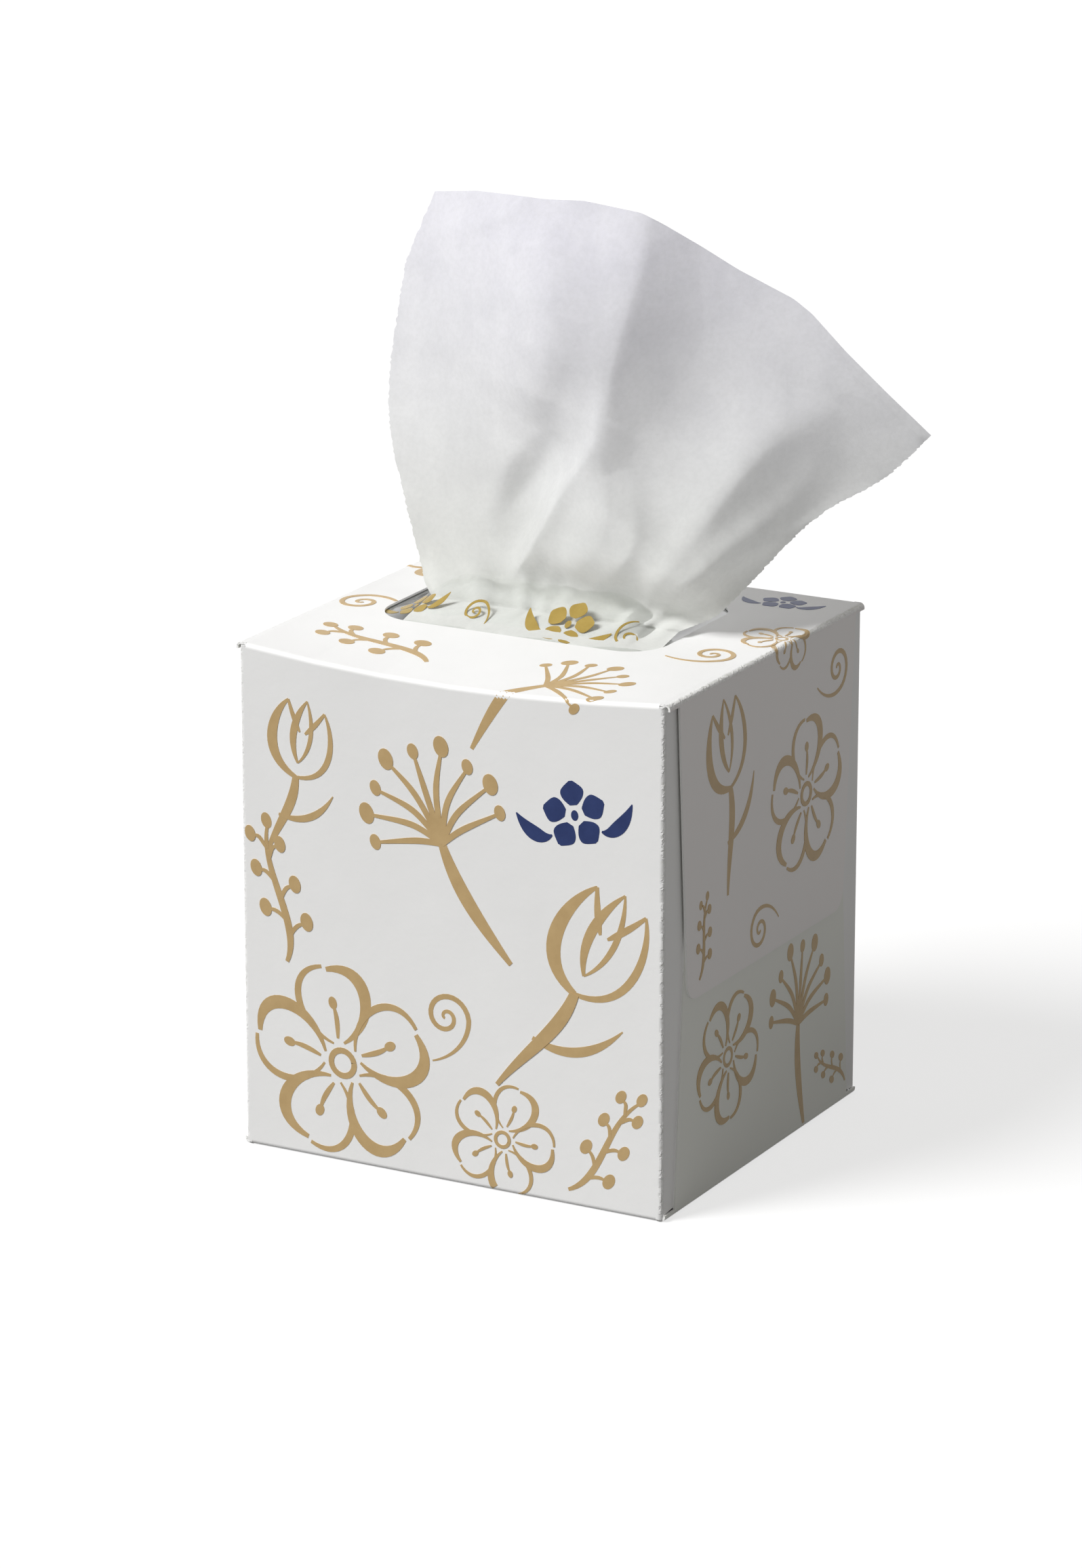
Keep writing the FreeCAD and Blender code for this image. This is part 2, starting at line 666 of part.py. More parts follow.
def skins(points, thickness):
    """The two sides of a sheet about its middle points."""
    last_i, last_j = len(points) - 1, len(points[0]) - 1
    near, far = [], []
    for i, row in enumerate(points):
        near.append([])
        far.append([])
        for j, point in enumerate(row):
            along = points[min(i + 1, last_i)][j] - points[max(i - 1, 0)][j]
            up = row[min(j + 1, last_j)] - row[max(j - 1, 0)]
            normal = along.cross(up).normalize() * (thickness / 2)
            near[i].append(point + normal)
            far[i].append(point - normal)
    return near, far


def make_tissue():
    """One two-ply tissue: tucked over the clip, gathered at the slit and fanned out above it."""
    lines = fan_lines()
    columns = []
    for across in spread(0, 1, TISSUE_COLUMNS):
        fan = [fan_point(across, up, lines) for up in spread(0, 1, FAN_ROWS)]
        tuck = [tuck_point(across, share, fan[0]) for share in spread(1, 0, TUCK_ROWS)[:-1]]
        columns.append(tuck + fan)
    return faceted_solid(*skins(columns, size("tissue_thick")))


def free_form(label, shape):
    """A piece whose curved skin no sketch can hold."""
    piece = doc.addObject("Part::Feature", label)
    piece.Shape = shape
    piece.Placement = FreeCAD.Placement()
    return piece


pieces = [
    make_carton(),
    make_clip(),
    free_form("window_film", make_film()),
    free_form("pulled_tissue", make_tissue()),
]
doc.recompute()

for thing in doc.Objects:
    if {"Invalid", "Error"} & set(thing.State):
        raise RuntimeError(f"{thing.Label} failed: {thing.State}")
for piece in pieces:
    if piece.Shape.isNull() or not piece.Shape.isValid():
        raise RuntimeError(f"{piece.Label} has no valid shape")

os.makedirs("parts", exist_ok=True)
for piece in pieces:
    piece.Shape.exportStep(f"parts/{piece.Label}.step")
    box = piece.Shape.BoundBox
    print(piece.Label, len(piece.Shape.Solids), "solid,", round(piece.Shape.Volume, 1), "mm3, box",
          [round(value, 2) for value in (box.XMin, box.YMin, box.ZMin, box.XMax, box.YMax, box.ZMax)])
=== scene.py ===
"""Looks of a cube tissue box: printed carton, clear film window, bent clip and one pulled tissue."""
import math
import random

import bmesh
import bpy
import numpy as np
from mathutils import Matrix, Vector
from mathutils.bvhtree import BVHTree


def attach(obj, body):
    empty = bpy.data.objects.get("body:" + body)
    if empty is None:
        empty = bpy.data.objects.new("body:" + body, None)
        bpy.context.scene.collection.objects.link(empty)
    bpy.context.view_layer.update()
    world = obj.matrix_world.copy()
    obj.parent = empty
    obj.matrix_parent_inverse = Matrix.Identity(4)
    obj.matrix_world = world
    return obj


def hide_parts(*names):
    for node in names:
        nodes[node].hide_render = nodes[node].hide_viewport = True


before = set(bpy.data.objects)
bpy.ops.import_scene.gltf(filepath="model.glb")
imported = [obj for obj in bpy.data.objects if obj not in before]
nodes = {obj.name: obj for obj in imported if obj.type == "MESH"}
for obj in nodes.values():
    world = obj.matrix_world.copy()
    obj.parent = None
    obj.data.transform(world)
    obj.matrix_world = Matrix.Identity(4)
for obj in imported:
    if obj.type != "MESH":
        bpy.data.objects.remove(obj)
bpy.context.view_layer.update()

MM = 0.001

# Sizes in millimetres that repeat the part's own.
HALF_WIDE = 57.0
HALF_DEEP = 51.2
HIGH = 124.3
BOARD = 0.5
FOLD = 1.2
FRONT_DIP = 3.0
TOP_CROWN = 2.0
TUBE_HALF = 54.4
OPENING_ASIDE = -4.0
OPENING_BACK = 8.5
OPENING_HALF_WIDE = 37.5
OPENING_HALF_DEEP = 24.0
GLUE_LINE = 0.2
FILM_MARGIN = 8.0
FILM_LIFT = 8.0
LIP = 3.4
LIP_END = 0.45
SLIT_BACK = 7.0
SLIT_HALF = 34.1
CLIP_CROWN = 114.8
CLIP_OUT = 54.0
CLIP_ROUND = 52.92

# The camera: its place in millimetres, its own axes and its focal length.
EYE = Vector((652.3, -1207.4, 498.4))
EYE_RIGHT = Vector((0.8787, 0.4773, 0.0))
EYE_UP = Vector((-0.1379, 0.2539, 0.9574))
EYE_BACK = Vector((0.4570, -0.8413, 0.2889))
LENS = 138.15

FLOOR_HALF = 6.0
SUN_FROM = Vector((-0.42, -0.55, 0.72))


def link(name, data):
    piece = bpy.data.objects.new(name, data)
    bpy.context.scene.collection.objects.link(piece)
    return piece


def grid_mesh(name, points):
    """A mesh of quads through a grid of points in millimetres, shape (columns, rows, 3)."""
    columns, rows = points.shape[:2]
    index = np.arange(columns * rows).reshape(columns, rows)
    faces = np.stack([index[:-1, :-1], index[1:, :-1], index[1:, 1:], index[:-1, 1:]], axis=-1)
    mesh = bpy.data.meshes.new(name)
    mesh.from_pydata((points.reshape(-1, 3) * MM).tolist(), [], faces.reshape(-1, 4).tolist())
    mesh.shade_smooth()
    return mesh


def eased(share):
    """A soft step from 0 to 1 while the share goes from 0 to 1."""
    share = np.clip(share, 0.0, 1.0)
    return share * share * (3 - 2 * share)


def grey(value):
    return (value, value, value, 1.0)


class Nodes:
    """A short way to write the nodes of a material or of the world."""

    def __init__(self, owner, out_kind):
        owner.use_nodes = True
        self.owner = owner
        self.tree = owner.node_tree
        self.tree.nodes.clear()
        self.out = self.tree.nodes.new(f"ShaderNode{out_kind}")

    def make(self, kind, inputs=None, **settings):
        node = self.tree.nodes.new(f"ShaderNode{kind}")
        for word, value in settings.items():
            setattr(node, word, value)
        for word, value in (inputs or {}).items():
            if isinstance(value, bpy.types.NodeSocket):
                self.tree.links.new(value, node.inputs[word])
            else:
                node.inputs[word].default_value = value
        return node

    def finish(self, shader):
        """Show the shader, and return the material or world."""
        self.tree.links.new(shader, self.out.inputs["Surface"])
        return self.owner

    def calc(self, operation, *values):
        return self.make("Math", dict(enumerate(values)), operation=operation).outputs[0]

    def place(self):
        return self.make("TexCoord").outputs["Object"]

    def axes(self):
        return self.make("SeparateXYZ", {"Vector": self.place()}).outputs

    def noise(self, scale, detail=3.0, roughness=0.5, stretch=(1, 1, 1)):
        mapped = self.make("Mapping", {"Vector": self.place(), "Scale": stretch}).outputs["Vector"]
        inputs = {"Vector": mapped, "Scale": scale, "Detail": detail, "Roughness": roughness}
        return self.make("TexNoise", inputs).outputs["Fac"]

    def ramp(self, value, low, high, out_low=0.0, out_high=1.0):
        inputs = {"Value": value, "From Min": low, "From Max": high, "To Min": out_low, "To Max": out_high}
        return self.make("MapRange", inputs).outputs["Result"]

    def past(self, coordinate, low, high):
        """From 0 to 1 while a coordinate goes from low to high, both in millimetres."""
        return self.ramp(coordinate, low * MM, high * MM)

    def mix(self, share, first, second):
        return self.make("Mix", {0: share, 6: first, 7: second}, data_type="RGBA").outputs[2]

    def blend(self, share, first, second):
        return self.make("MixShader", {0: share, 1: first, 2: second}).outputs[0]

    def bump(self, height, strength, distance, normal=None):
        inputs = {"Height": height, "Strength": strength, "Distance": distance}
        if normal is not None:
            inputs["Normal"] = normal
        return self.make("Bump", inputs).outputs["Normal"]


def material_nodes(name):
    return Nodes(bpy.data.materials.new(name), "OutputMaterial")


def backdrop_rays(n):
    """1 for the rays that show the white backdrop: from the camera, through film or off gloss."""
    paths = n.make("LightPath").outputs
    seen = n.calc("MAXIMUM", paths["Is Camera Ray"], paths["Is Transmission Ray"])
    return n.calc("MAXIMUM", seen, paths["Is Glossy Ray"])


def floor_material():
    """Nearly white where it is seen, so that it keeps the shadow, and dull where it lights the box."""
    n = material_nodes("floor_white")
    white = n.make("BsdfDiffuse", {"Color": grey(0.36)}).outputs[0]
    glow = n.make("Emission", {"Color": grey(1.0), "Strength": 0.68}).outputs[0]
    shown = n.make("AddShader", {0: white, 1: glow}).outputs[0]
    dull = n.make("BsdfDiffuse", {"Color": grey(0.2)}).outputs[0]
    return n.finish(n.blend(backdrop_rays(n), dull, shown))


def make_floor():
    mesh = bpy.data.meshes.new("floor")
    ends = (-FLOOR_HALF, FLOOR_HALF)
    mesh.from_pydata([(x, y, 0) for y in ends for x in ends], [], [(0, 1, 3, 2)])
    floor = link("floor", mesh)
    mesh.materials.append(floor_material())


def make_world():
    world = bpy.data.worlds.new("studio")
    bpy.context.scene.world = world
    n = Nodes(world, "OutputWorld")
    air = n.make("Background", {"Color": (1.0, 0.975, 0.935, 1.0), "Strength": 0.265}).outputs[0]
    backdrop = n.make("Background", {"Color": grey(1.0), "Strength": 1.0}).outputs[0]
    n.finish(n.blend(backdrop_rays(n), air, backdrop))


def make_sun():
    sun = bpy.data.lights.new("key", "SUN")
    sun.energy = 3.15
    sun.angle = math.radians(24)
    lamp = link("key", sun)
    lamp.rotation_euler = SUN_FROM.to_track_quat("Z", "Y").to_euler()


def make_camera():
    lens = bpy.data.cameras.new("camera")
    lens.sensor_fit = "VERTICAL"
    lens.sensor_height = 36.0
    lens.lens = LENS
    lens.clip_start = 0.05
    lens.clip_end = 50.0
    camera = link("camera", lens)
    turn = Matrix((EYE_RIGHT, EYE_UP, EYE_BACK)).transposed().to_4x4()
    camera.matrix_world = Matrix.Translation(EYE * MM) @ turn
    bpy.context.scene.camera = camera
    bpy.context.scene.view_settings.view_transform = "Standard"


def panel_height(x, y):
    """The outside of the top panel, which dips at its front crease and bulges in its middle."""
    bow = max(0.0, 1 - (x / TUBE_HALF) ** 2)
    across = y / HALF_DEEP
    return HIGH - FRONT_DIP * bow * (1 - across) / 2 + TOP_CROWN * bow * (1 - across ** 2)


def inside_opening(x):
    """How far x is inside the opening: 0 at its ends, 1 where the film's lips reach full height."""
    return (OPENING_HALF_WIDE - np.abs(x - OPENING_ASIDE)) / (LIP_END * OPENING_HALF_WIDE)


def film_height(x, y):
    """The film lies under the top panel and rises to two lips at its slit."""
    flat = panel_height(x, y) - BOARD - GLUE_LINE
    front, back = OPENING_BACK - OPENING_HALF_DEEP, OPENING_BACK + OPENING_HALF_DEEP
    if y < SLIT_BACK:
        climb = eased((y - front) / (SLIT_BACK - LIP - front))
    else:
        climb = eased((back - y) / (back - SLIT_BACK - LIP))
    crinkle = 0.2 * math.sin(0.55 * x + 0.3 * y) + 0.12 * math.sin(1.1 * x - 0.7 * y + 1.3)
    return flat + (FILM_LIFT + crinkle) * climb * eased(inside_opening(x))


def clip_height(x):
    """The top of the bent clip, which falls away at its two ends."""
    past = np.maximum(0.0, np.abs(x) - (CLIP_OUT - CLIP_ROUND))
    return CLIP_CROWN - CLIP_ROUND + np.sqrt(CLIP_ROUND ** 2 - past ** 2)


# The pulled tissue's four sides as (x, z) in millimetres, where the eye sees them on the plane y = 0.
LEFT_EDGE = [
    (-33.2, 126.3), (-35.3, 129.6), (-36.4, 135.0), (-40.4, 149.1), (-43.4, 160.6), (-44.6, 167.7),
    (-44.7, 176.0), (-43.9, 184.1), (-41.2, 199.6), (-39.7, 207.4), (-35.3, 217.0), (-31.8, 224.5),
]
RIGHT_EDGE = [
    (33.1, 126.2), (42.8, 131.0), (51.4, 140.1), (62.7, 152.5), (66.8, 156.6), (72.0, 160.9),
    (79.6, 165.4), (86.0, 169.6), (91.5, 174.9), (96.9, 180.6),
]
TOP_EDGE = [
    (-31.8, 224.5), (-20.3, 225.7), (-10.5, 225.6), (-2.6, 225.4), (7.7, 226.0), (22.7, 224.6),
    (28.5, 222.5), (38.5, 218.2), (47.7, 213.9), (61.9, 208.5), (66.6, 205.5), (75.2, 197.7),
    (85.6, 189.3), (96.9, 180.6),
]
FOOT_EDGE = [(-33.2, 126.3), (0.0, 126.3), (33.1, 126.2)]

# Each fold: its line, its height towards the eye at even steps along it, its width on its right and
# left as seen going along it, and how round its crest is at its start and end.
FOLDS = [
    (
        [
            (22.6, 226.5), (21.0, 212.9), (17.9, 201.2), (14.6, 188.5), (12.2, 176.7), (10.9, 168.2),
            (6.8, 161.8), (1.9, 155.0),
        ],
        (9, 10, 11, 11.5, 11, 8, 2, 0), (28, 15), (2.4, 1.4),
    ),
    (
        [
            (14, 184), (12.2, 176.7), (11.2, 168.2), (6.8, 161.8), (1.9, 155.0), (-3.6, 145.3),
            (-10.6, 133.6), (-12.6, 129.7),
        ],
        (0, 3, 8, 12, 13, 13, 12, 9), (3.5, 26), (1.5, 0.4),
    ),
    (
        [(-6, 226), (-5, 213), (-4, 203), (-4, 192), (-7, 180), (-12, 168)],
        (4, 8.5, 10, 9, 6, 2), (17, 11), (3.5, 3.5),
    ),
    (
        [(17.5, 163), (20.2, 156), (20.9, 149), (19.2, 142.8), (15, 137.2), (8.3, 131.4)],
        (0, 2.5, 4.2, 4), (12, 4), (2.0, 0.5),
    ),
    (
        [
            (70, 187), (66.5, 180.2), (57.5, 175.5), (50.0, 168.2), (42.4, 158.1), (35.7, 149.2),
            (29.0, 140.4), (23, 131.6),
        ],
        (1, 4.5, 7.5, 8, 6.5, 5), (10, 8), (2.6, 0.7),
    ),
    (
        [
            (72, 178), (68.5, 171.5), (64.4, 164.3), (55.9, 156.1), (44.5, 146.8), (36.8, 139.5),
            (29.0, 132.3),
        ],
        (0, 2, 4.5, 5.5, 4.5), (7, 4.5), (1.6, 0.7),
    ),
    (
        [(88, 171), (80.4, 165.0), (67.3, 156.6), (54.0, 149.6), (44.5, 142.0), (34, 132.6)],
        (0, 0.8, 1.4, 1.4, 1), (2.5, 2.5), (1, 0.5),
    ),
    (
        [(60.5, 206.9), (65.2, 203.5), (74.2, 195.5), (84.8, 187.1), (94.0, 179.6)],
        (0, 0.6, 0.7, 0.5), (0.8, 0.8), (0.2, 0.2),
    ),
    (
        [(-7.5, 226.4), (-10.5, 222.5), (-16.4, 219.3), (-25.4, 216.2), (-36, 214)],
        (1.2, 1.4, 1.0, 0), (5, 2.5), (0.5, 1.0),
    ),
    (
        [(-8.6, 150), (-7.5, 143), (-4, 137), (1, 130)],
        (0, 1.6, 2.4), (4, 3), (1.0, 0.5),
    ),
    (
        [(-26, 152), (-24.5, 141), (-22, 129)],
        (0, 1.4, 2.4), (5, 6), (2.0, 1.0),
    ),
]
# The bowl to the left of the main fold: centre, half sizes, lean in degrees and depth.
BOWL = ((-1.5, 152.0), (15.5, 20.5), -24.0, 6.0)
# The share of the width that stands in front, and how far the two sides bend back from it.
RIDGE = 0.38
LEFT_BACK = 15.0
RIGHT_BACK = 20.0
# How far the folds' fields are blurred away from their crests, in grid steps along both axes.
BLUR = (9, 7)
# How far the torn side edges wander.
TORN_LEFT = 0.22
TORN_RIGHT = 0.3
FAN_COLUMNS = 240
FAN_ROWS = 160

# How far the sheet's foot comes forward at the slit.
FOOT_FORWARD = 8.0
# Where the sheet goes under the top panel, and how far it lies below the film there.
BRINK = -17.5
BRINK_GAP = 1.6
# The height of its loose gathers below the slit, and the number of its small pleats on the clip.
LOOSE = 0.45
PLEATS = 13
# Its front end on the clip: how far forward, how wide, how tight it turns and how far it runs back.
TUCK_FRONT = -45.0
TUCK_HALF_WIDE = 49.0
TURN_RADIUS = 0.9
FOLD_BACK = 74.0


def arc_samples(line, shares):
    """Points of the line at the given shares of its length."""
    line = np.asarray(line, float)
    steps = np.concatenate([[0], np.cumsum(np.linalg.norm(np.diff(line, axis=0), axis=1))])
    steps /= steps[-1]
    return np.stack([np.interp(shares, steps, line[:, k]) for k in (0, 1)], axis=-1)


def smoothed(samples, passes):
    for _ in range(passes):
        samples[1:-1] = (samples[:-2] + 2 * samples[1:-1] + samples[2:]) / 4
    return samples


def rounded_line(line, passes=3):
    """The line with its corners cut again and again, its ends kept."""
    line = np.asarray(line, float)
    for _ in range(passes):
        near = 0.75 * line[:-1] + 0.25 * line[1:]
        far = 0.25 * line[:-1] + 0.75 * line[1:]
        middle = np.stack([near, far], 1).reshape(-1, 2)
        line = np.concatenate([line[:1], middle, line[-1:]])
    return line


def blurred(field, reach):
    """The field blurred by bells of the given reach in grid steps along its two axes."""
    for axis, steps in enumerate(reach):
        span = int(3 * steps)
        bell = np.exp(-0.5 * (np.arange(-span, span + 1) / steps) ** 2)
        bell /= bell.sum()
        padding = [(span, span) if k == axis else (0, 0) for k in (0, 1)]
        padded = np.pad(field, padding, mode="edge")
        field = np.apply_along_axis(np.convolve, axis, padded, bell, "valid")
    return field


def line_distance(places, line):
    """Distance to a line, how much it is to the right (0) or left (1) of it, and the share along it."""
    best = np.full(places.shape[:-1], 1e9)
    side = np.zeros_like(best)
    share = np.zeros_like(best)
    lengths = np.linalg.norm(np.diff(line, axis=0), axis=1)
    start = np.concatenate([[0], np.cumsum(lengths)])
    for i, length in enumerate(lengths):
        ahead = (line[i + 1] - line[i]) / length
        offset = places - line[i]
        along = np.clip(offset @ ahead, 0, length)
        gap = offset - along[..., None] * ahead
        distance = np.linalg.norm(gap, axis=-1)
        closer = distance < best
        leftness = (ahead[0] * gap[..., 1] - ahead[1] * gap[..., 0]) / np.maximum(distance, 1e-9)
        best = np.where(closer, distance, best)
        side = np.where(closer, 0.5 + 0.5 * leftness, side)
        share = np.where(closer, (start[i] + along) / start[-1], share)
    return best, side, share


def seen_at(places, depth):
    """Points at depth y that the eye sees at the given places of the plane y = 0."""
    flat = np.stack([places[..., 0], np.zeros_like(depth), places[..., 1]], axis=-1)
    eye = np.array(EYE)
    return flat + (depth / -EYE.y)[..., None] * (flat - eye)


def tear_sides(places):
    """Makes the two side edges a little rough, as torn tissue is."""
    rough = random.Random(5)
    for side, torn in ((0, TORN_LEFT), (-1, TORN_RIGHT)):
        for row in range(8, FAN_ROWS - 3):
            places[side, row, 0] += rough.uniform(-torn, torn)


def fan_places(across, up):
    """A grid of places between the four drawn edges."""
    left = smoothed(arc_samples(LEFT_EDGE, up), 6)
    right = smoothed(arc_samples(RIGHT_EDGE, up), 6)
    top = smoothed(arc_samples(TOP_EDGE, across), 3)
    foot = arc_samples(FOOT_EDGE, across)
    a = across[:, None, None]
    u = up[None, :, None]
    sides = (1 - a) * left[None] + a * right[None]
    ends = (1 - u) * foot[:, None] + u * top[:, None]
    low_corners = (1 - a) * (1 - u) * left[0] + a * (1 - u) * right[0]
    high_corners = (1 - a) * u * left[-1] + a * u * right[-1]
    places = sides + ends - low_corners - high_corners
    tear_sides(places)
    return places


def gathers(across):
    """Loose uneven pleats, where the sheet is bunched at the slit."""
    turn = 2 * math.pi * across
    slow = np.sin(3.1 * turn + 0.9 * np.sin(1.3 * turn) + 0.6)
    quick = np.sin(6.7 * turn + 2.1) * (0.5 + 0.5 * np.sin(1.1 * turn + 0.4))
    fine = np.sin(12.3 * turn + 0.9) * (0.5 + 0.5 * np.sin(2.3 * turn + 1.9))
    return 0.9 * slow + 0.7 * quick + 0.35 * fine


def fold_height(places, line, heights, widths, crest):
    """How far one fold stands out towards the eye."""
    near = line_distance(places, rounded_line(line))
    far = eased((near[0] - 3) / 9)
    distance, side, share = (field + far * (blurred(field, BLUR) - field) for field in near)
    height = np.interp(share, np.linspace(0, 1, len(heights)), heights)
    round_off = crest[0] + (crest[1] - crest[0]) * share
    distance = np.sqrt(distance ** 2 + round_off ** 2) - round_off
    width = widths[0] + (widths[1] - widths[0]) * side
    return height * np.exp(-np.power(distance / width, 1.25))


def bowl_depth(places):
    middle, halves, lean, sunk = BOWL
    c, s = math.cos(math.radians(lean)), math.sin(math.radians(lean))
    offset = places - np.array(middle)
    across_bowl = (offset[..., 0] * c + offset[..., 1] * s) / halves[0]
    along_bowl = (-offset[..., 0] * s + offset[..., 1] * c) / halves[1]
    return sunk * eased((1 - np.hypot(across_bowl, along_bowl)) / 0.75)


def fan_depth(places, across, up):
    """How far back each place of the fan lies."""
    right = RIGHT_BACK * np.clip((across - RIDGE) / (1 - RIDGE), 0, 1) ** 1.8
    left = LEFT_BACK * np.clip((RIDGE - across) / RIDGE, 0, 1) ** 1.6
    depth = (4.0 + right + left) * eased(up / 0.8)
    for fold in FOLDS:
        depth -= fold_height(places, *fold)
    depth += bowl_depth(places)
    pleats = 1.2 * gathers(across) * (1 - eased(up / 0.17))
    forward = FOOT_FORWARD * (1 - eased(up / 0.13)) ** 2
    return SLIT_BACK - forward + depth * eased((up - 0.03) / 0.19) + pleats


def under_film(root, brink, loose):
    """Rows of the sheet from the slit forward, close below the film."""
    rows = []
    for s in np.linspace(0, 1, 24)[1:]:
        y = root[:, 1] + (BRINK - root[:, 1]) * s
        swell = 1.3 * math.sin(math.pi * s) * eased(inside_opening(root[:, 0]))
        z = root[:, 2] + (brink - root[:, 2]) * s + swell + LOOSE * loose * s
        rows.append(np.stack([root[:, 0], y, z], -1))
    return rows


def down_to_clip(root, brink, across, loose, tight):
    """Rows of the sheet under the top panel, where it spreads out and comes to lie on the clip."""
    rows = []
    for s in np.linspace(0, 1, 30)[1:]:
        spread = float(eased(s))
        spread_x = OPENING_ASIDE * 0.3 + TUCK_HALF_WIDE * (2 * across - 1)
        x = root[:, 0] * (1 - spread) + spread * spread_x
        y = BRINK + 0 * x + (TUCK_FRONT - BRINK) * s
        rest = clip_height(x) + 2.9
        drop = (rest - brink) * float(eased(1.25 * s))
        z = brink + drop + LOOSE * loose * (1 - s) + 1.1 * tight * s
        rows.append(np.stack([x, y, z], -1))
    return rows


def fold_back(x, front, tight):
    """Rows of the sheet's hidden end, which turns round and runs back on the clip."""
    rows = []
    for turn in np.linspace(0, math.pi, 7)[1:]:
        z = clip_height(x) + 2.0 + TURN_RADIUS * math.cos(turn) + 0.8 * tight
        rows.append(np.stack([x, front - TURN_RADIUS * math.sin(turn), z], -1))
    for back in np.linspace(0, FOLD_BACK, 48)[1:]:
        rows.append(np.stack([x, front + back, clip_height(x) + 1.1 + 0.8 * tight], -1))
    return rows


def tuck_points(root, across):
    """The tissue below the slit: it runs forward under the film, lies on the clip and folds back."""
    loose = gathers(across)
    tight = np.sin(2 * math.pi * PLEATS * across)
    brink = np.array([panel_height(x, BRINK) - BOARD - GLUE_LINE - BRINK_GAP for x in root[:, 0]])
    rows = under_film(root, brink, loose) + down_to_clip(root, brink, across, loose, tight)
    rows += fold_back(rows[-1][:, 0], rows[-1][:, 1], tight)
    return np.stack(rows, 1)


def tissue_material():
    """Soft two-ply paper, thinner where it stands free, with painted light: darker and greener low down,
    paler and bluer higher up.
    """
    n = material_nodes("tissue_paper")
    fibre = n.noise(900, 4.0, 0.6)
    cloud = n.noise(70, 4.0, 0.65)
    level = n.axes()["Z"]
    # Painted light by height: the tone runs from darker and greener low down to paler and bluer higher up.
    height = n.ramp(level, 0.13, 0.215)
    dull = n.mix(height, (0.805, 0.815, 0.79, 1), (0.875, 0.87, 0.925, 1))
    pale = n.mix(height, (0.86, 0.87, 0.845, 1), (0.94, 0.935, 0.985, 1))
    tone = n.mix(n.ramp(cloud, 0.35, 0.65), dull, pale)
    tone = n.mix(n.ramp(fibre, 0.35, 0.6, 0.1, 0.0), tone, (0.6, 0.61, 0.6, 1))
    normal = n.bump(fibre, 0.25, 0.0002, n.bump(n.noise(160, 3.0, 0.6), 0.3, 0.0006))
    front = n.make("BsdfDiffuse", {"Color": tone, "Roughness": 0.9, "Normal": normal}).outputs[0]
    through = n.make("BsdfTranslucent", {"Color": tone, "Normal": normal}).outputs[0]
    thin = n.ramp(level, 0.125, 0.142, 0.12, 0.42)
    return n.finish(n.blend(thin, front, through))


def make_tissue():
    across = np.linspace(0, 1, FAN_COLUMNS)
    up = np.linspace(0, 1, FAN_ROWS)
    places = fan_places(across, up)
    grid_across, grid_up = np.meshgrid(across, up, indexing="ij")
    fan = seen_at(places, fan_depth(places, grid_across, grid_up))
    tuck = tuck_points(fan[:, 0], across)
    points = np.concatenate([tuck[:, ::-1], fan], 1)
    piece = link("tissue_sheet", grid_mesh("tissue_sheet", points))
    piece.data.materials.append(tissue_material())
    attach(piece, "root")
    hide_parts("pulled_tissue")


def film_points():
    half_wide, half_deep = OPENING_HALF_WIDE + FILM_MARGIN, OPENING_HALF_DEEP + FILM_MARGIN
    front, back = SLIT_BACK - LIP, SLIT_BACK + LIP
    xs = np.linspace(OPENING_ASIDE - half_wide, OPENING_ASIDE + half_wide, 121)
    ys = np.concatenate([
        np.linspace(OPENING_BACK - half_deep, front, 36),
        np.linspace(front, back, 5)[1:-1],
        np.linspace(back, OPENING_BACK + half_deep, 36),
    ])
    return np.array([[(x, y, film_height(x, y)) for y in ys] for x in xs])


def cut_slit(mesh):
    shell = bmesh.new()
    shell.from_mesh(mesh)
    gone = []
    for face in shell.faces:
        middle = face.calc_center_median() / MM
        in_slit = abs(middle.x - OPENING_ASIDE) < SLIT_HALF
        if in_slit and SLIT_BACK - LIP < middle.y < SLIT_BACK + LIP:
            gone.append(face)
    bmesh.ops.delete(shell, geom=gone, context="FACES")
    shell.to_mesh(mesh)
    shell.free()


def film_material():
    """Clear film that mirrors at a slant and is hazier at the opening's ends."""
    n = material_nodes("clear_film")
    normal = n.bump(n.noise(90, 2.0, 0.5, (1, 2.2, 1)), 0.3, 0.0008)
    clear = n.make("BsdfTransparent", {"Color": (0.975, 0.98, 0.975, 1)}).outputs[0]
    polished = {"Base Color": grey(0.95), "Metallic": 1.0, "Roughness": 0.14, "Normal": normal}
    shine = n.make("BsdfPrincipled", polished).outputs[0]
    mirror = n.make("Fresnel", {"IOR": 1.5, "Normal": normal}).outputs["Fac"]
    haze = n.ramp(n.noise(60, 3.0, 0.6), 0.35, 0.75, 0.01, 0.06)
    aside = n.calc("ABSOLUTE", n.calc("ADD", n.axes()["X"], -OPENING_ASIDE * MM))
    haze = n.calc("ADD", haze, n.ramp(aside, 0.029, 0.036, 0.0, 0.32))
    share = n.calc("ADD", n.ramp(mirror, 0.0, 0.6, 0.0, 0.45), haze)
    return n.finish(n.blend(share, clear, shine))


def make_film_sheet():
    mesh = grid_mesh("film_sheet", film_points())
    cut_slit(mesh)
    piece = link("film_sheet", mesh)
    mesh.materials.append(film_material())
    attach(piece, "root")
    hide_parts("window_film")
    return piece


def crease_share(n, axes, aside):
    """1 on the worn creases between the top and the ends and between the front and the ends."""
    level = n.calc(
        "MINIMUM",
        n.past(aside, HALF_WIDE - 1.2, HALF_WIDE - 0.2),
        n.past(axes["Z"], HIGH - 1.4, HIGH - 0.5),
    )
    upright = n.calc(
        "MINIMUM",
        n.past(aside, HALF_WIDE - 2.1, HALF_WIDE - 1.2),
        n.past(axes["Y"], 1.0 - HALF_DEEP, 0.2 - HALF_DEEP),
    )
    return n.calc("MAXIMUM", level, upright)


